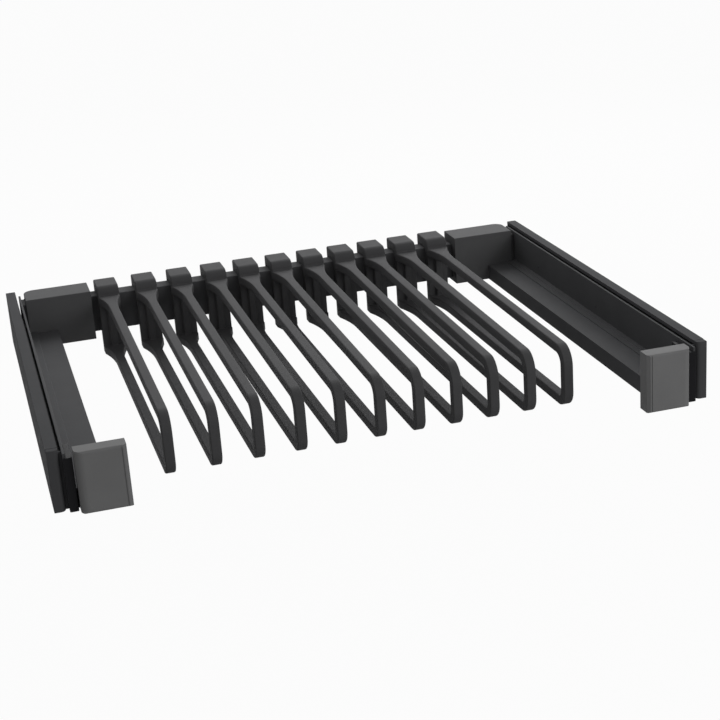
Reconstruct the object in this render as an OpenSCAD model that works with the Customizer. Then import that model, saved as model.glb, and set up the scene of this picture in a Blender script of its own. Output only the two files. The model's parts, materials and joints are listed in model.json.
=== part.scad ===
// Pull-out trouser rack for a wardrobe: two side slides, a rear rail and a row of loop hangers.
// It is drawn closed. X runs to the right, -Y is the front of the wardrobe and +Z is up.
// The origin is the middle of the rack, level with the bottom of the hanging loops.
// Depths are counted back from the front of the caps, and heights up from the bottom of the loops.
// Side pieces are drawn on the left, where "in" is the distance inward from the cabinet side,
// and are mirrored to the right.

/* [Rack] */
// Width between the cabinet sides
rack_w = 564; // [500:2:1000]
// Depth from the front caps to the back of the hanger hooks
rack_d = 465; // [450:1:520]
// Height of the side housings
side_h = 52.5; // [50:0.5:58]
// Drop of the hanging loops below the side housings
loop_drop = 18.5; // [8:0.5:22]

/* [Side housing] */
// Length of the side housings
housing_l = 450; // [446:1:480]
// Thickness of the side housings
housing_t = 9.4; // [9:0.1:11]
// Set-back of the side housings behind the front caps
housing_set_back = 12; // [8:0.5:20]
// Sheet thickness of the housings
housing_wall = 1.6; // [1.2:0.1:2]
// Height of the stiffening lips along the mouth of a housing
housing_lip = 1.6; // [1:0.1:2.2]
// Distance from the front of a housing to its first wall screw hole
screw_first = 37; // [30:1:60]
// Distance between the two wall screw holes
screw_pitch = 352; // [320:32:352]
// Radius of the rounded inner edge of the plate that closes a housing's front
plate_edge_r = 4; // [1:0.2:5]
// Radius of the wall screw holes
screw_hole_r = 2.25; // [1.8:0.05:2.6]
// Radius of the countersinks for the wall screw heads
screw_sink_r = 4.05; // [3.6:0.05:5]

/* [Telescopic slide] */
// How far the rack pulls out
travel = 440; // [300:5:440]
// Height of the outer slide member
slide_h = 42; // [40:0.5:46]
// Thickness of a slide member's upright web
slide_web = 1; // [0.8:0.05:1.2]
// Thickness of a slide member's top and bottom flanges
slide_flange = 1.2; // [0.8:0.05:1.4]
// Height of the lips that keep the balls in
slide_lip = 1; // [0.6:0.05:1.1]
// Height of the ball track between two members
track_h = 3.4; // [3.2:0.1:4]
// Radius of the balls
ball_r = 1.4; // [1.2:0.05:1.45]
// Number of balls in each row
ball_count = 10; // [4:1:12]
// Distance from ball to ball
ball_pitch = 15; // [10:1:16]
// Sheet thickness of the ball cages
cage_t = 0.6; // [0.4:0.05:0.7]
// Length of the soft-close units
damper_l = 44; // [36:1:50]

/* [Side profile] */
// Gap between the housing and the moving side wall
wall_gap = 2.6; // [2.4:0.1:4]
// Thickness of the side wall
wall_t = 2; // [1.5:0.1:2.5]
// Height of the side wall
wall_h = 49.5; // [46:0.5:51]
// Set-back of the side walls behind the front caps
wall_set_back = 10; // [6:0.5:12]
// Width of the hollow ledge along the foot of the wall
ledge_w = 32; // [28:1:40]
// Height of the hollow ledge
ledge_h = 16; // [14:0.5:20]
// Wall thickness of the hollow ledge
ledge_wall = 2; // [1.5:0.1:2.5]
// Width of the raised step on the ledge, beside the wall
step_w = 10; // [6:0.5:14]
// Height of the raised step
step_h = 1.2; // [0.6:0.1:2]

/* [Front caps and corner blocks] */
// Width of a front cap
cap_w = 41; // [36:0.2:46]
// Depth of a front cap
cap_d = 15; // [13:0.5:20]
// Radius of the rounded outer edge of a cap
cap_edge_r = 7; // [3:0.5:8]
// Radius of the rounded top and bottom front edges of a cap
cap_front_r = 2; // [0.6:0.2:4]
// Gap between the side wall and a front cap
cap_gap = 6.4; // [5.8:0.2:8]
// Thickness of the front bracket, which fills most of the gap between the wall and the cap
bracket_t = 5.2; // [3:0.2:5.4]
// Length of the front bracket
bracket_l = 30; // [24:0.5:40]
// Height of the front bracket
bracket_h = 46; // [28:0.5:48]
// Width of a corner block
block_w = 66; // [58:0.2:72]
// Depth of a corner block
block_d = 36; // [34:0.5:40]
// Height of a corner block
block_h = 51.5; // [49:0.5:53]
// Gap between the side wall and a corner block
block_gap = 3.6; // [2.5:0.1:4.5]
// Radius of the rounded rear corner of a block
block_corner_r = 10; // [6:0.5:14]

/* [Rear rail] */
// Depth of the rail
rail_d = 20; // [18:0.5:22]
// Height of the rail
rail_h = 38; // [32:0.5:40]
// Wall thickness of the rail
rail_wall = 2; // [1.5:0.1:2.5]
// Height of the rail above the bottom of the side housings
rail_lift = 4.5; // [3:0.5:7]

/* [Trouser hangers] */
// Places of the hangers along the rail, from its left end to its right end
hanger_shares = [0.046, 0.146, 0.24, 0.333, 0.422, 0.512, 0.6, 0.687, 0.773, 0.86, 0.949];
// Width of the clip that rides on the rail
clip_w = 22.4; // [20:0.2:24]
// Thickness of the clip in front of the rail
clip_front_t = 8.6; // [7:0.2:10]
// Thickness of the clip on top of the rail
clip_top_t = 10.4; // [9:0.2:14]
// Thickness of the clip's hook behind the rail
clip_back_t = 5.6; // [4:0.2:7]
// How far the hook reaches down behind the rail
clip_hook_h = 16; // [8:0.5:24]
// Radius of the clip's rounded top front edge
clip_front_r = 8; // [3:0.5:8.5]
// Radius of the clip's rounded top rear edge
clip_rear_r = 2.4; // [1:0.2:4]
// Width of the loop bar
bar_w = 9; // [8:0.2:11]
// Thickness of the loop bar
bar_t = 9; // [8:0.2:10]
// Depth of the rib down the front of the clip, between the loop's two bars
rib_d = 5; // [3:0.5:7]
// Width of the rib
rib_w = 7; // [5:0.2:7.6]
// Height of the loops' upper arms above the bottom of the side housings
loop_lift = 44; // [40:0.5:46]
// Rise of the loop's lower bar from the clip to its front end
loop_rise = 5.5; // [0:0.5:8]
// Distance from the front of the caps to the front of the loops
loop_set_back = 70; // [60:1:100]
// Outer radius of the loop at its top front corner
loop_top_r = 18; // [14:0.5:24]
// Inner radius of the loop at its top front corner
loop_top_inner_r = 9; // [6:0.5:15]
// Outer radius of the loop at its bottom front corner
loop_low_r = 15; // [10:0.5:18]
// Inner radius of the loop at its bottom front corner
loop_low_inner_r = 6; // [2:0.5:9]
// Length over which the bar widens to the clip
flare_l = 45; // [30:1:60]

/* [Hidden] */
$fn = 64;
// Finish colours
charcoal = "#3b3c3e";
steel = "silver";
// Facets of the very large arcs where a bar widens
flare_fn = 360;
// Overrun of a cut beyond the face that it leaves
overrun = 0.5;
// Clearance between pieces that move past each other
play = 0.4;
// Clearance between pieces that plug together
plug_play = 0.2;

// Heights
side_z = loop_drop;
loop_h = side_z + loop_lift;
slide_z = side_z + side_h / 2;
rail_z = side_z + rail_lift;
rail_top = rail_z + rail_h;
clip_top = rail_top + play + clip_top_t;
ledge_top = side_z + ledge_h;
step_top = ledge_top + step_h;
slide_half = slide_h / 2;
slide_inner_half = slide_half - slide_flange;
middle_half = slide_inner_half - track_h;
middle_inner_half = middle_half - slide_flange;
inner_half = middle_inner_half - track_h;
outer_row_z = slide_inner_half - track_h / 2;
inner_row_z = middle_inner_half - track_h / 2;
bracket_top = side_z + bracket_h;

// Depths
plate_t = 6;
plate_web_t = 1.4;
bracket_lip = 1.6;
end_cap_t = 2;
end_cap_tongue = 18;
plate_back = housing_set_back + plate_t;
channel_y = plate_back + play;
housing_back = housing_set_back + housing_l;
channel_back = housing_back - end_cap_t;
member_y = channel_y + play;
outer_back = channel_back - play;
damper_y = outer_back - damper_l;
member_stop = 4;
middle_back = damper_y - member_stop;
inner_back = middle_back - member_stop;
cage_y = member_y + travel / 4 + member_stop;
cage_l = ball_count * ball_pitch;
wall_short = 9;
block_short = 1;
block_back = rack_d - block_short;
block_y = block_back - block_d;
rail_back = rack_d - clip_back_t - play;
rail_y = rail_back - rail_d;
clip_y = rail_y - play - clip_front_t;
rib_y = clip_y - rib_d;

// Distances in from the cabinet side
outer_web_back = housing_wall + slide_web;
outer_cage_in = outer_web_back + play;
middle_in = outer_cage_in + cage_t + play;
inner_cage_in = middle_in + slide_web + play;
inner_mouth = inner_cage_in + cage_t + play;
outer_mouth = housing_t - 2 * play;
wall_in = housing_t + wall_gap;
wall_back = wall_in + wall_t;
inner_web_in = wall_in - slide_web;
middle_mouth = inner_web_in - play;
outer_row_in = (middle_in + outer_mouth - slide_web) / 2;
inner_row_in = (inner_mouth + middle_mouth - slide_web) / 2;
cap_in = wall_back + cap_gap;
cap_back = cap_in + cap_w;
ledge_back = wall_back + ledge_w;
block_in = wall_back + block_gap;
block_side = block_in + block_w;
tenon_in = cap_in + wall_t;

// Ball cages
ball_play = 0.15;
cage_hole_r = ball_r + ball_play;
cage_edge = 0.6;

// Tenons and their screws
tenon_l = 20;
screw_r = 1.5;
screw_l = 10;
screw_head_r = 2.8;
screw_head_h = 1.3;
screw_socket_r = 1;
profile_screw_shares = [0.12, 0.5, 0.88];
rivet_shares = [0.2, 0.5, 0.78];

// Small forms
bead_w = 4;
bead_h = 0.8;
groove_w = 0.8;
groove_d = 0.6;
groove_in = 4;
cap_bevel = 2.6;
damper_base = 1.6;
damper_h = 26;
damper_barrel_r = 2.4;
damper_barrel_z = 7;
damper_hook_l = 6;

// Hangers
// How far the arcs of the widened bar would run past each side of the clip, where they are cut flush
flare_over = 0.8;
flare_side = (clip_w - bar_w) / 2 + flare_over;
flare_r = (flare_l * flare_l + flare_side * flare_side) / (2 * flare_side);
rail_l = rack_w - 2 * block_side;

// Where things go

module in_rack() {
    translate([0, -rack_d / 2, 0]) children();
}

module left_side() {
    in_rack() translate([-rack_w / 2, 0, 0]) children();
}

module right_side() {
    mirror([1, 0, 0]) left_side() children();
}

module both_sides() {
    left_side() children();
    right_side() children();
}

// Basic shapes

// A block from its lowest and highest place along each axis
module block(x, y, z) {
    translate([x[0], y[0], z[0]]) cube([x[1] - x[0], y[1] - y[0], z[1] - z[0]]);
}

// Two blocks, as far above the middle of the slide as below it
module block_pair(x, y, low, high) {
    block(x, y, [slide_z + low, slide_z + high]);
    block(x, y, [slide_z - high, slide_z - low]);
}

// A sheet channel that opens inward, with an upright web and a lip along each flange
module channel(x, y, half, web, flange, lip) {
    difference() {
        block(x, y, [slide_z - half, slide_z + half]);
        block([x[0] + web, x[1] - web], [y[0] - overrun, y[1] + overrun], inside(half - flange));
        block([x[0] + web, x[1] + overrun], [y[0] - overrun, y[1] + overrun], inside(half - flange - lip));
    }
}

// From as far below the middle of the slide to as far above it
function inside(half) = [slide_z - half, slide_z + half];

// What rounding a corner at the origin takes away
module corner_waste(r) {
    difference() {
        translate([-overrun, -overrun]) square(r + overrun);
        translate([r, r]) circle(r = r);
    }
}

// A side view, drawn in depth and height, given a width along X
module across(width) {
    translate([-width / 2, 0, 0]) rotate([90, 0, 90]) linear_extrude(height = width) children();
}

// Points along X at a depth and height, for screws and rivets that go in from the side
module from_side(x, y) {
    translate([x, y, slide_z]) rotate([0, 90, 0]) children();
}

// A countersunk screw, with its head's face at the origin and its tip below it
module screw(length) {
    difference() {
        screw_space(length);
        translate([0, 0, -screw_head_h]) cylinder(r = screw_socket_r, h = screw_head_h + overrun, $fn = 6);
    }
}

// The space that a screw fills
module screw_space(length) {
    translate([0, 0, -length]) cylinder(r = screw_r, h = length);
    translate([0, 0, -screw_head_h]) cylinder(r1 = screw_r, r2 = screw_head_r, h = screw_head_h);
}

// Side housing

module side_housing() {
    color(charcoal) difference() {
        channel([0, housing_t], [channel_y, channel_back],
            side_h / 2, housing_wall, housing_wall, housing_lip);
        wall_screw_holes();
        rivet_places() screw_space(outer_web_back);
    }
}

// Straight through the housing's web, then countersunk to the face of the slide
module wall_screw_holes() {
    sink_h = screw_sink_r - screw_hole_r;
    for (i = [0, 1]) from_side(0, channel_y + screw_first + i * screw_pitch) {
        translate([0, 0, -overrun]) cylinder(r = screw_hole_r, h = outer_web_back + 2 * overrun);
        translate([0, 0, outer_web_back - sink_h])
            cylinder(r1 = screw_hole_r, r2 = screw_sink_r, h = sink_h);
    }
}

module rivet_places() {
    for (share = rivet_shares)
        from_side(0, member_y + share * (outer_back - member_y)) rotate([180, 0, 0]) children();
}

module slide_rivets() {
    color(steel) both_sides() rivet_places() screw_space(outer_web_back);
}

module rear_end_cap() {
    color("black") {
        block([0, housing_t], [channel_back, housing_back], [side_z, side_z + side_h]);
        block_pair(
            [housing_wall + plug_play, housing_t - housing_wall - plug_play],
            [channel_back - end_cap_tongue, channel_back],
            slide_half + play, side_h / 2 - housing_wall - plug_play);
    }
}

// Telescopic slide

module outer_slide_member() {
    color(steel) difference() {
        channel([housing_wall, outer_mouth], [member_y, outer_back],
            slide_half, slide_web, slide_flange, slide_lip);
        wall_screw_holes();
        rivet_places() screw_space(outer_web_back);
    }
}

module middle_slide_member() {
    color(steel) channel([middle_in, middle_mouth], [member_y, middle_back],
        middle_half, slide_web, slide_flange, slide_lip);
}

// It opens outward, and its web lies flat on the side wall
module inner_slide_member() {
    color(steel) difference() {
        block([inner_mouth, wall_in], [plate_back, inner_back], inside(inner_half));
        block([inner_mouth - overrun, inner_web_in], [plate_back - overrun, inner_back + overrun],
            inside(inner_half - slide_flange));
        profile_screw_places() screw_space(screw_l / 2);
    }
}

// A cage of one row of balls above the slide's middle and one below
module ball_cage(web_in, row_in, row_z) {
    difference() {
        union() {
            block([web_in, web_in + cage_t], [cage_y, cage_y + cage_l], inside(row_z + cage_t / 2));
            block_pair([web_in, row_in + cage_hole_r + cage_edge], [cage_y, cage_y + cage_l],
                row_z - cage_t / 2, row_z + cage_t / 2);
        }
        ball_places(row_in, row_z)
            translate([0, 0, -cage_t]) cylinder(r = cage_hole_r, h = 2 * cage_t);
    }
}

module ball_places(row_in, row_z) {
    for (side = [-1, 1])
        for (i = [0 : ball_count - 1])
            translate([row_in, cage_y + (i + 0.5) * ball_pitch, slide_z + side * row_z]) children();
}

module outer_ball_cage() {
    color("gray") ball_cage(outer_cage_in, outer_row_in, outer_row_z);
}

module outer_balls() {
    color("white") ball_places(outer_row_in, outer_row_z) sphere(r = ball_r);
}

module inner_ball_cage() {
    color("gray") ball_cage(inner_cage_in, inner_row_in, inner_row_z);
}

module inner_balls() {
    color("white") ball_places(inner_row_in, inner_row_z) sphere(r = ball_r);
}

// A base that fills the end of the outer member, with two damper barrels and a catch
module soft_close_unit() {
    barrel_in = outer_web_back + damper_base + damper_barrel_r;
    color("slategray") {
        block([outer_web_back, outer_web_back + damper_base + damper_barrel_r],
            [damper_y, outer_back], inside(damper_h / 2));
        for (side = [-1, 1])
            translate([barrel_in, outer_back, slide_z + side * damper_barrel_z])
                rotate([90, 0, 0]) cylinder(r = damper_barrel_r, h = damper_l);
        block([outer_web_back, barrel_in + damper_barrel_r], [damper_y, damper_y + damper_hook_l],
            inside(damper_barrel_r));
    }
}

// It closes the front of the housing and of the gap beside it, and plugs into the inner slide member
module slide_end_plate() {
    color(charcoal) {
        translate([0, housing_set_back, side_z]) linear_extrude(height = side_h) difference() {
            square([housing_t, plate_t]);
            translate([housing_t, 0]) mirror([1, 0]) corner_waste(plate_edge_r);
        }
        block([housing_t - plate_web_t, wall_in], [plate_back - plate_web_t, plate_back],
            [side_z, side_z + wall_h]);
        block([inner_mouth, inner_web_in - plug_play], [plate_back, plate_back + tenon_l],
            inside(inner_half - slide_flange - plug_play));
    }
}

// Moving frame

module side_profile() {
    ledge_y = [cap_d, block_y];
    color(charcoal) difference() {
        union() {
            block([wall_in, wall_back], [wall_set_back, block_back - wall_short],
                [side_z, side_z + wall_h]);
            block([wall_back, ledge_back], ledge_y, [side_z, ledge_top]);
            block([wall_back, wall_back + step_w], ledge_y, [ledge_top, step_top]);
            block([wall_back, wall_back + bead_w], ledge_y, [step_top, step_top + bead_h]);
        }
        block([wall_back, ledge_back - ledge_wall], [cap_d - overrun, block_y + overrun],
            [side_z + ledge_wall, ledge_top - ledge_wall]);
        profile_screw_places() screw_space(screw_l / 2);
        tenon_screw_place(cap_d + tenon_l / 2) screw_space(screw_l);
        tenon_screw_place(block_y - tenon_l / 2) screw_space(screw_l);
    }
}

// Through the wall into the web of the inner slide member
module profile_screw_places() {
    for (share = profile_screw_shares)
        from_side(wall_back, plate_back + share * (inner_back - plate_back)) children();
}

module profile_screws() {
    color("black") both_sides() profile_screw_places() screw(screw_l / 2);
}

// From below, through the ledge into a tenon
module tenon_screw_place(y) {
    translate([(tenon_in + ledge_back - ledge_wall) / 2, y, side_z]) rotate([180, 0, 0]) children();
}

// A black strip that covers the front end of the wall and steps over the ledge
module front_bracket() {
    bracket_x = [wall_back, wall_back + bracket_t];
    color("black") {
        block([wall_in, bracket_x[1]], [wall_set_back - bracket_lip, wall_set_back], [side_z, bracket_top]);
        block(bracket_x, [wall_set_back, cap_d], [side_z, bracket_top]);
        block(bracket_x, [cap_d, wall_set_back + bracket_l], [step_top + bead_h, bracket_top]);
    }
}

module front_cap() {
    color(charcoal) difference() {
        union() {
            intersection() {
                translate([0, 0, side_z]) linear_extrude(height = side_h) cap_plan();
                translate([cap_in + cap_w / 2, 0, side_z]) across(cap_w) cap_side();
            }
            tenon(cap_d, cap_d + tenon_l);
        }
        tenon_screw_place(cap_d + tenon_l / 2) screw_space(screw_l);
    }
}

// The cap in plan, with a rounded outer edge, a bevelled inner edge and a groove beside that bevel
module cap_plan() {
    difference() {
        translate([cap_in, 0]) square([cap_w, cap_d]);
        translate([cap_in, 0]) corner_waste(cap_edge_r);
        translate([cap_back, 0]) rotate(45) square(cap_bevel * sqrt(2), center = true);
        translate([cap_back - groove_in, 0]) square([groove_w, groove_d * 2], center = true);
    }
}

// The cap in side view, with its top and bottom front edges rounded
module cap_side() {
    difference() {
        square([cap_d, side_h]);
        corner_waste(cap_front_r);
        translate([0, side_h]) mirror([0, 1]) corner_waste(cap_front_r);
    }
}

// The tongue of a cap or a block inside the hollow ledge
module tenon(front, back) {
    block([tenon_in, ledge_back - ledge_wall - plug_play], [front, back],
        [side_z + ledge_wall + plug_play, ledge_top - ledge_wall - plug_play]);
}

module cap_screws() {
    color("black") both_sides() tenon_screw_place(cap_d + tenon_l / 2) screw(screw_l);
}

module corner_block() {
    pad_edge = block_gap;
    pad_y = [block_y + pad_edge, block_back - block_corner_r];
    color(charcoal) difference() {
        union() {
            translate([0, 0, side_z]) linear_extrude(height = block_h) difference() {
                translate([block_in, block_y]) square([block_w, block_d]);
                translate([block_in, block_back]) mirror([0, 1]) corner_waste(block_corner_r);
            }
            block([wall_back, block_in], pad_y, [side_z + pad_edge, side_z + wall_h - pad_edge]);
            tenon(block_y - tenon_l, block_y);
            rail_tenon();
        }
        tenon_screw_place(block_y - tenon_l / 2) screw_space(screw_l);
        rail_screw_place() screw_space(screw_l);
    }
}

// The tongue of a block inside the end of the rail
module rail_tenon() {
    inset = rail_wall + plug_play;
    block([block_side, block_side + tenon_l], [rail_y + inset, rail_back - inset],
        [rail_z + inset, rail_top - inset]);
}

// From below, through the rail into its tenon
module rail_screw_place() {
    translate([block_side + tenon_l / 2, (rail_y + rail_back) / 2, rail_z]) rotate([180, 0, 0]) children();
}

module block_screws() {
    color("black") both_sides() tenon_screw_place(block_y - tenon_l / 2) screw(screw_l);
}

module rail_screws() {
    color("black") both_sides() rail_screw_place() screw(screw_l);
}

module rear_rail() {
    color(charcoal) difference() {
        in_rack() difference() {
            block([-rail_l / 2, rail_l / 2], [rail_y, rail_back], [rail_z, rail_top]);
            block([-rail_l / 2 - overrun, rail_l / 2 + overrun],
                [rail_y + rail_wall, rail_back - rail_wall], [rail_z + rail_wall, rail_top - rail_wall]);
        }
        both_sides() rail_screw_place() screw_space(screw_l);
    }
}

// Trouser hangers

module trouser_hanger(share) {
    color(charcoal) in_rack() translate([(share - 0.5) * rail_l, 0, 0]) {
        across(bar_w) loop_side();
        across(clip_w) clip_side();
        intersection() {
            across(clip_w) loop_side();
            linear_extrude(height = loop_h) flare_plan();
        }
        block([-rib_w / 2, rib_w / 2], [rib_y, clip_y], [bar_t / 2, loop_h - bar_t / 2]);
    }
}

// The loop in side view: an upper arm, a front end and a lower bar that rises to the front
module loop_side() {
    front = loop_set_back;
    difference() {
        polygon([[front, low_z(front)], [clip_y, 0], [clip_y, loop_h], [front, loop_h]]);
        translate([front, low_z(front + loop_low_r)]) corner_waste(loop_low_r);
        translate([front, loop_h]) mirror([0, 1]) corner_waste(loop_top_r);
        loop_window(front + bar_t, clip_y + overrun);
    }
}

// Height of the lower bar's underside at a depth
function low_z(y) = loop_rise * (clip_y - y) / (clip_y - loop_set_back);

module loop_window(front, back) {
    top = loop_h - bar_t;
    difference() {
        polygon([[front, bar_t + low_z(front)], [back, bar_t + low_z(back)], [back, top], [front, top]]);
        translate([front, bar_t + low_z(front + loop_low_inner_r)]) corner_waste(loop_low_inner_r);
        translate([front, top]) mirror([0, 1]) corner_waste(loop_top_inner_r);
    }
}

// The clip in side view: a plate before the rail, a bridge over it and a hook behind it
module clip_side() {
    difference() {
        translate([clip_y, 0]) square([rack_d - clip_y, clip_top]);
        translate([clip_y + clip_front_t, -overrun])
            square([rail_d + 2 * play, rail_top + play + overrun]);
        translate([rail_back, -overrun])
            square([rack_d - rail_back + overrun, rail_top - clip_hook_h + overrun]);
        translate([clip_y, clip_top]) mirror([0, 1]) corner_waste(clip_front_r);
        translate([rack_d, clip_top]) rotate(180) corner_waste(clip_rear_r);
    }
}

// The bar in plan, widening in two long arcs from its own width to beyond the clip's
module flare_plan() {
    plan_w = clip_w + 2 * flare_over;
    difference() {
        translate([-plan_w / 2, clip_y - flare_l]) square([plan_w, flare_l]);
        for (side = [-1, 1])
            translate([side * (bar_w / 2 + flare_r), clip_y - flare_l]) circle(r = flare_r, $fn = flare_fn);
    }
}

left_side() side_housing();  // side_housing_left
right_side() side_housing();  // side_housing_right
left_side() outer_slide_member();  // outer_slide_member_left
right_side() outer_slide_member();  // outer_slide_member_right
slide_rivets();
left_side() rear_end_cap();  // rear_end_cap_left
right_side() rear_end_cap();  // rear_end_cap_right
left_side() soft_close_unit();  // soft_close_unit_left
right_side() soft_close_unit();  // soft_close_unit_right
left_side() outer_ball_cage();  // outer_ball_cage_left
right_side() outer_ball_cage();  // outer_ball_cage_right
left_side() outer_balls();  // outer_balls_left
right_side() outer_balls();  // outer_balls_right
left_side() middle_slide_member();  // middle_slide_member_left
right_side() middle_slide_member();  // middle_slide_member_right
left_side() inner_ball_cage();  // inner_ball_cage_left
right_side() inner_ball_cage();  // inner_ball_cage_right
left_side() inner_balls();  // inner_balls_left
right_side() inner_balls();  // inner_balls_right
left_side() inner_slide_member();  // inner_slide_member_left
right_side() inner_slide_member();  // inner_slide_member_right
left_side() slide_end_plate();  // slide_end_plate_left
right_side() slide_end_plate();  // slide_end_plate_right
left_side() side_profile();  // side_profile_left
right_side() side_profile();  // side_profile_right
profile_screws();
left_side() front_bracket();  // front_bracket_left
right_side() front_bracket();  // front_bracket_right
left_side() front_cap();  // front_cap_left
right_side() front_cap();  // front_cap_right
cap_screws();
left_side() corner_block();  // corner_block_left
right_side() corner_block();  // corner_block_right
block_screws();
rear_rail();
rail_screws();
trouser_hanger(hanger_shares[0]);  // trouser_hanger_01
trouser_hanger(hanger_shares[1]);  // trouser_hanger_02
trouser_hanger(hanger_shares[2]);  // trouser_hanger_03
trouser_hanger(hanger_shares[3]);  // trouser_hanger_04
trouser_hanger(hanger_shares[4]);  // trouser_hanger_05
trouser_hanger(hanger_shares[5]);  // trouser_hanger_06
trouser_hanger(hanger_shares[6]);  // trouser_hanger_07
trouser_hanger(hanger_shares[7]);  // trouser_hanger_08
trouser_hanger(hanger_shares[8]);  // trouser_hanger_09
trouser_hanger(hanger_shares[9]);  // trouser_hanger_10
trouser_hanger(hanger_shares[10]);  // trouser_hanger_11
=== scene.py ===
import json
import math

import bpy
from mathutils import Matrix, Vector

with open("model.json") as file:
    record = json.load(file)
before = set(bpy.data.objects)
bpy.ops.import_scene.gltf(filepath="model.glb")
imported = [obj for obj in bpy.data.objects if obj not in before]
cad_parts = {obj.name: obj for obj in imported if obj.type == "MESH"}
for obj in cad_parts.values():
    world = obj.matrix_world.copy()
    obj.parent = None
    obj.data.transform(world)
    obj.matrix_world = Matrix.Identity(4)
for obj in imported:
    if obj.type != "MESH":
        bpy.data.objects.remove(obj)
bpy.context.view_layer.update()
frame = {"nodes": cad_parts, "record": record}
MM = 0.001

# The photograph's camera: where it stands, where it looks and how it is tilted
CAMERA_PLACE = Vector((-322.6, -1354.3, 531.2)) * MM
CAMERA_HEADING = math.radians(14.644)
CAMERA_DIP = math.radians(19.999)
CAMERA_ROLL = math.radians(-4.11)
CAMERA_LENS = 77.58
CAMERA_SENSOR = 36.0
CAMERA_NEAR = 0.05
CAMERA_FAR = 60.0

# Finish colours, linear
CHARCOAL = (0.102, 0.103, 0.107)
CAP_GREY = (0.27, 0.27, 0.272)
BLOCK_CHARCOAL = (0.137, 0.138, 0.141)
HANGER_CHARCOAL = (0.105, 0.105, 0.108)
# Black plastic parts; on the front brackets this black is also painted shade, a dark filler standing for the
# shade in the gap between side wall and front cap
BLACK_PLASTIC_AND_PAINTED_SHADE = (0.022, 0.022, 0.024)
BLACK_STEEL = (0.035, 0.035, 0.037)
# Painted shade: the zinc-plated slide members get a dark coat instead of bare metal, standing for the shade
# in the gaps they sit in
SLIDE_PAINTED_SHADE = (0.045, 0.045, 0.047)
CAGE_ZINC = (0.42, 0.43, 0.44)
BALL_STEEL = (0.62, 0.62, 0.63)

# Coats, each with its colour, scale of grain, roughness, height of grain in millimetres and gloss
COATS = {
    "housing_finish": (CHARCOAL, 1400.0, 0.7, 0.06, 0.015),
    "profile_finish": (CHARCOAL, 1500.0, 0.65, 0.05, 0.035),
    "cap_plastic": (CAP_GREY, 2200.0, 0.65, 0.05, 0.035),
    "block_plastic": (BLOCK_CHARCOAL, 2200.0, 0.65, 0.05, 0.035),
    "hanger_finish": (HANGER_CHARCOAL, 900.0, 0.65, 0.02, 0.035),
    # Black plastic, which on the front brackets is painted shade filling the gap beside the caps
    "dark_plastic": (BLACK_PLASTIC_AND_PAINTED_SHADE, 2000.0, 0.45, 0.04, 0.035),
    "black_fastener": (BLACK_STEEL, 2500.0, 0.35, 0.03, 0.035),
    # The slides' coat is painted shade over zinc-plated steel, dark like the gaps around them
    "slide_steel": (SLIDE_PAINTED_SHADE, 1600.0, 0.5, 0.03, 0.035),
}
COAT_GRAIN_STRENGTH = 0.5
CLOUD_SCALE = 22.0
CLOUD_DEPTH = 0.05

# Bare metals, each with its colour and roughness
METALS = {
    "cage_steel": (CAGE_ZINC, 0.36),
    "ball_steel": (BALL_STEEL, 0.14),
}
DRAW_LINE_SCALE = 900.0
DRAW_LINE_STRETCH = 0.02
DRAW_LINE_DEPTH = 0.08
DRAW_LINE_HEIGHT = 0.04
DRAW_LINE_STRENGTH = 0.3

# Where most of a noise's values lie
NOISE_LOW = 0.3
NOISE_HIGH = 0.7

# Nodes whose shade in the photograph differs from the rest of their material slot
SHADES = {
    "corner_block": "block_plastic",
    "slide_end_plate": "housing_finish",
    "profile_screws": "profile_finish",
}

# How much each kind of node's edges are rounded, in millimetres and in how many steps.
# Where a tiny screw hole would hold all the rounding back, it isn't clamped.
# The housings stay sharp, and the caps' rounded edges are in their solids.
EDGES = {
    "slide_end_plate": (0.7, 3, True),
    "side_profile": (0.35, 2, False),
    "front_bracket": (0.6, 2, True),
    "corner_block": (0.8, 3, False),
    "rear_rail": (0.8, 3, False),
    "trouser_hanger": (1.6, 3, True),
    "rear_end_cap": (0.4, 2, True),
    "soft_close_unit": (0.4, 2, True),
}
WELD_DISTANCE = 0.01
FLAT_ANGLE = math.radians(0.5)
CLAMPED_EDGE_ANGLE = math.radians(30)
FREE_EDGE_ANGLE = math.radians(60)

# Lamps, each with its place, the point it faces, its size in metres and its power in watts
LAMPS = {
    "above_and_behind": ((0.4, 1.4, 1.0), (0.0, 0.0, 0.0), (1.6, 1.0), 17.0),
    "behind_right": ((1.2, 1.3, 0.75), (0.0, 0.0, 0.03), (1.2, 0.8), 4.6),
    "front_right": ((1.0, -1.6, 0.7), (0.0, 0.0, 0.03), (1.0, 0.8), 6.8),
}
ROOM_GREY = 0.488
ROOM_STRENGTH = 0.5

# The floor, which lies well below the hanging rack
FLOOR_HALF = 12.0
FLOOR_HEIGHT = -0.12
FLOOR_GREY = 0.3
FLOOR_ROUGHNESS = 0.9
FLOOR_WHITE_SHARE = 0.965


# Camera

def make_camera():
    data = bpy.data.cameras.new("camera")
    data.lens = CAMERA_LENS
    data.sensor_width = CAMERA_SENSOR
    data.clip_start = CAMERA_NEAR
    data.clip_end = CAMERA_FAR
    camera = bpy.data.objects.new("camera", data)
    bpy.context.scene.collection.objects.link(camera)
    heading = Matrix.Rotation(-CAMERA_HEADING, 4, "Z")
    dip = Matrix.Rotation(math.pi / 2 - CAMERA_DIP, 4, "X")
    roll = Matrix.Rotation(CAMERA_ROLL, 4, "Z")
    camera.matrix_world = Matrix.Translation(CAMERA_PLACE) @ heading @ dip @ roll
    bpy.context.scene.camera = camera


# Materials

def new_material(name):
    material = bpy.data.materials.new(name)
    material.use_nodes = True
    tree = material.node_tree
    shader = tree.nodes["Principled BSDF"]
    place = tree.nodes.new("ShaderNodeTexCoord")
    return material, tree, shader, place.outputs["Object"]


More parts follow.
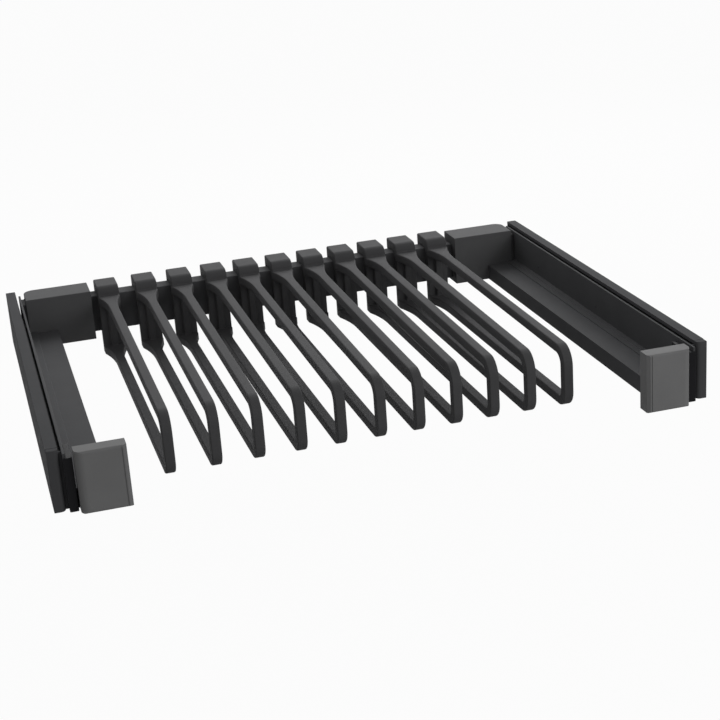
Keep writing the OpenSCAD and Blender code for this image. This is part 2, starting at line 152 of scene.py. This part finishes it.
def noise(tree, place, scale, detail):
    node = tree.nodes.new("ShaderNodeTexNoise")
    node.inputs["Scale"].default_value = scale
    node.inputs["Detail"].default_value = detail
    tree.links.new(place, node.inputs["Vector"])
    return node.outputs["Fac"]


def spread(tree, value, low, high):
    """A noise value brought from its usual middle range to the range from low to high."""
    node = tree.nodes.new("ShaderNodeMapRange")
    node.inputs["From Min"].default_value = NOISE_LOW
    node.inputs["From Max"].default_value = NOISE_HIGH
    node.inputs["To Min"].default_value = low
    node.inputs["To Max"].default_value = high
    tree.links.new(value, node.inputs["Value"])
    return node.outputs["Result"]


def mottle(tree, value, colour, depth):
    """The colour, darker and lighter by depth where the value is low and high."""
    ramp = tree.nodes.new("ShaderNodeValToRGB")
    ramp.color_ramp.elements[0].position = NOISE_LOW
    ramp.color_ramp.elements[1].position = NOISE_HIGH
    ramp.color_ramp.elements[0].color = (*[c * (1 - depth) for c in colour], 1)
    ramp.color_ramp.elements[1].color = (*[c * (1 + depth) for c in colour], 1)
    tree.links.new(value, ramp.inputs["Fac"])
    return ramp.outputs["Color"]


def bump(tree, shader, value, height, strength):
    """A bump as high as the height in millimetres."""
    node = tree.nodes.new("ShaderNodeBump")
    node.inputs["Distance"].default_value = height * MM
    node.inputs["Strength"].default_value = strength
    tree.links.new(value, node.inputs["Height"])
    tree.links.new(node.outputs["Normal"], shader.inputs["Normal"])


def coated(name, colour, grain, roughness, height, gloss):
    """A matt coat on metal or moulded plastic, with a fine grain and faint clouds."""
    material, tree, shader, place = new_material(name)
    clouds = noise(tree, place, CLOUD_SCALE, 4.0)
    fine = noise(tree, place, grain, 2.0)
    tree.links.new(mottle(tree, clouds, colour, CLOUD_DEPTH), shader.inputs["Base Color"])
    tree.links.new(spread(tree, fine, roughness - 0.05, roughness + 0.06), shader.inputs["Roughness"])
    shader.inputs["Specular IOR Level"].default_value = gloss
    bump(tree, shader, fine, height, COAT_GRAIN_STRENGTH)
    return material


def metal(name, colour, roughness):
    """Bare steel, with faint draw lines along the slide."""
    material, tree, shader, place = new_material(name)
    shader.inputs["Metallic"].default_value = 1.0
    stretch = tree.nodes.new("ShaderNodeMapping")
    stretch.inputs["Scale"].default_value = (1.0, DRAW_LINE_STRETCH, 1.0)
    tree.links.new(place, stretch.inputs["Vector"])
    lines = noise(tree, stretch.outputs["Vector"], DRAW_LINE_SCALE, 2.0)
    tree.links.new(mottle(tree, lines, colour, DRAW_LINE_DEPTH), shader.inputs["Base Color"])
    tree.links.new(spread(tree, lines, roughness - 0.05, roughness + 0.08), shader.inputs["Roughness"])
    bump(tree, shader, lines, DRAW_LINE_HEIGHT, DRAW_LINE_STRENGTH)
    return material


def make_materials():
    coats = {name: coated(name, *values) for name, values in COATS.items()}
    metals = {name: metal(name, *values) for name, values in METALS.items()}
    return {**coats, **metals}


def dress_nodes(materials):
    for row in frame["record"]["subparts"]:
        name, finish = row["node"], row["material_slot"]
        for kind, shade in SHADES.items():
            if name.startswith(kind):
                finish = shade
        node = frame["nodes"][name]
        node.data.materials.clear()
        node.data.materials.append(materials[finish])


# Edges

def soften(node, width, steps, clamp):
    weld = node.modifiers.new("weld", "WELD")
    weld.merge_threshold = WELD_DISTANCE * MM
    flat = node.modifiers.new("flat", "DECIMATE")
    flat.decimate_type = "DISSOLVE"
    flat.angle_limit = FLAT_ANGLE
    edges = node.modifiers.new("edges", "BEVEL")
    edges.width = width * MM
    edges.segments = steps
    edges.limit_method = "ANGLE"
    edges.angle_limit = CLAMPED_EDGE_ANGLE if clamp else FREE_EDGE_ANGLE
    edges.use_clamp_overlap = clamp
    normals = node.modifiers.new("normals", "WEIGHTED_NORMAL")
    normals.keep_sharp = False


def soften_nodes():
    for name, node in frame["nodes"].items():
        for kind, (width, steps, clamp) in EDGES.items():
            if name.startswith(kind):
                soften(node, width, steps, clamp)


# Studio

def area_light(name, place, aim, size, power):
    data = bpy.data.lights.new(name, "AREA")
    data.shape = "RECTANGLE"
    data.size, data.size_y = size
    data.energy = power
    light = bpy.data.objects.new(name, data)
    bpy.context.scene.collection.objects.link(light)
    light.location = place
    light.rotation_mode = "QUATERNION"
    light.rotation_quaternion = (Vector(aim) - Vector(place)).to_track_quat("-Z", "Y")


def make_lights():
    for name, values in LAMPS.items():
        area_light(name, *values)


def seen_rays(tree):
    """1 for the rays that see the surroundings directly, in a gloss or through glass, and 0 for the rest."""
    rays = tree.nodes.new("ShaderNodeLightPath")
    value = rays.outputs["Is Camera Ray"]
    for kind in ("Is Glossy Ray", "Is Transmission Ray"):
        node = tree.nodes.new("ShaderNodeMath")
        node.operation = "MAXIMUM"
        tree.links.new(value, node.inputs[0])
        tree.links.new(rays.outputs[kind], node.inputs[1])
        value = node.outputs["Value"]
    return value


def make_world():
    world = bpy.data.worlds.new("studio")
    bpy.context.scene.world = world
    world.use_nodes = True
    tree = world.node_tree
    tree.nodes.clear()
    out = tree.nodes.new("ShaderNodeOutputWorld")
    room = tree.nodes.new("ShaderNodeBackground")
    room.inputs["Color"].default_value = (ROOM_GREY, ROOM_GREY, ROOM_GREY, 1)
    room.inputs["Strength"].default_value = ROOM_STRENGTH
    white = tree.nodes.new("ShaderNodeBackground")
    white.inputs["Color"].default_value = (1, 1, 1, 1)
    white.inputs["Strength"].default_value = 1.0
    mix = tree.nodes.new("ShaderNodeMixShader")
    tree.links.new(seen_rays(tree), mix.inputs["Fac"])
    tree.links.new(room.outputs["Background"], mix.inputs[1])
    tree.links.new(white.outputs["Background"], mix.inputs[2])
    tree.links.new(mix.outputs["Shader"], out.inputs["Surface"])


def make_floor():
    """A pale floor, white to the camera but for a trace of the shadow."""
    mesh = bpy.data.meshes.new("floor")
    ways = [(-1, -1), (1, -1), (1, 1), (-1, 1)]
    corners = [(x * FLOOR_HALF, y * FLOOR_HALF, FLOOR_HEIGHT) for x, y in ways]
    mesh.from_pydata(corners, [], [(0, 1, 2, 3)])
    floor = bpy.data.objects.new("floor", mesh)
    bpy.context.scene.collection.objects.link(floor)
    material = bpy.data.materials.new("floor")
    material.use_nodes = True
    tree = material.node_tree
    shader = tree.nodes["Principled BSDF"]
    shader.inputs["Base Color"].default_value = (FLOOR_GREY, FLOOR_GREY, FLOOR_GREY, 1)
    shader.inputs["Roughness"].default_value = FLOOR_ROUGHNESS
    white = tree.nodes.new("ShaderNodeEmission")
    white.inputs["Color"].default_value = (1, 1, 1, 1)
    share = tree.nodes.new("ShaderNodeMath")
    share.operation = "MULTIPLY"
    share.inputs[1].default_value = FLOOR_WHITE_SHARE
    mix = tree.nodes.new("ShaderNodeMixShader")
    tree.links.new(seen_rays(tree), share.inputs[0])
    tree.links.new(share.outputs["Value"], mix.inputs["Fac"])
    tree.links.new(shader.outputs["BSDF"], mix.inputs[1])
    tree.links.new(white.outputs["Emission"], mix.inputs[2])
    tree.links.new(mix.outputs["Shader"], tree.nodes["Material Output"].inputs["Surface"])
    floor.data.materials.append(material)


make_camera()
materials = make_materials()
dress_nodes(materials)
soften_nodes()
make_lights()
make_world()
make_floor()
bpy.context.scene.view_settings.view_transform = "Standard"
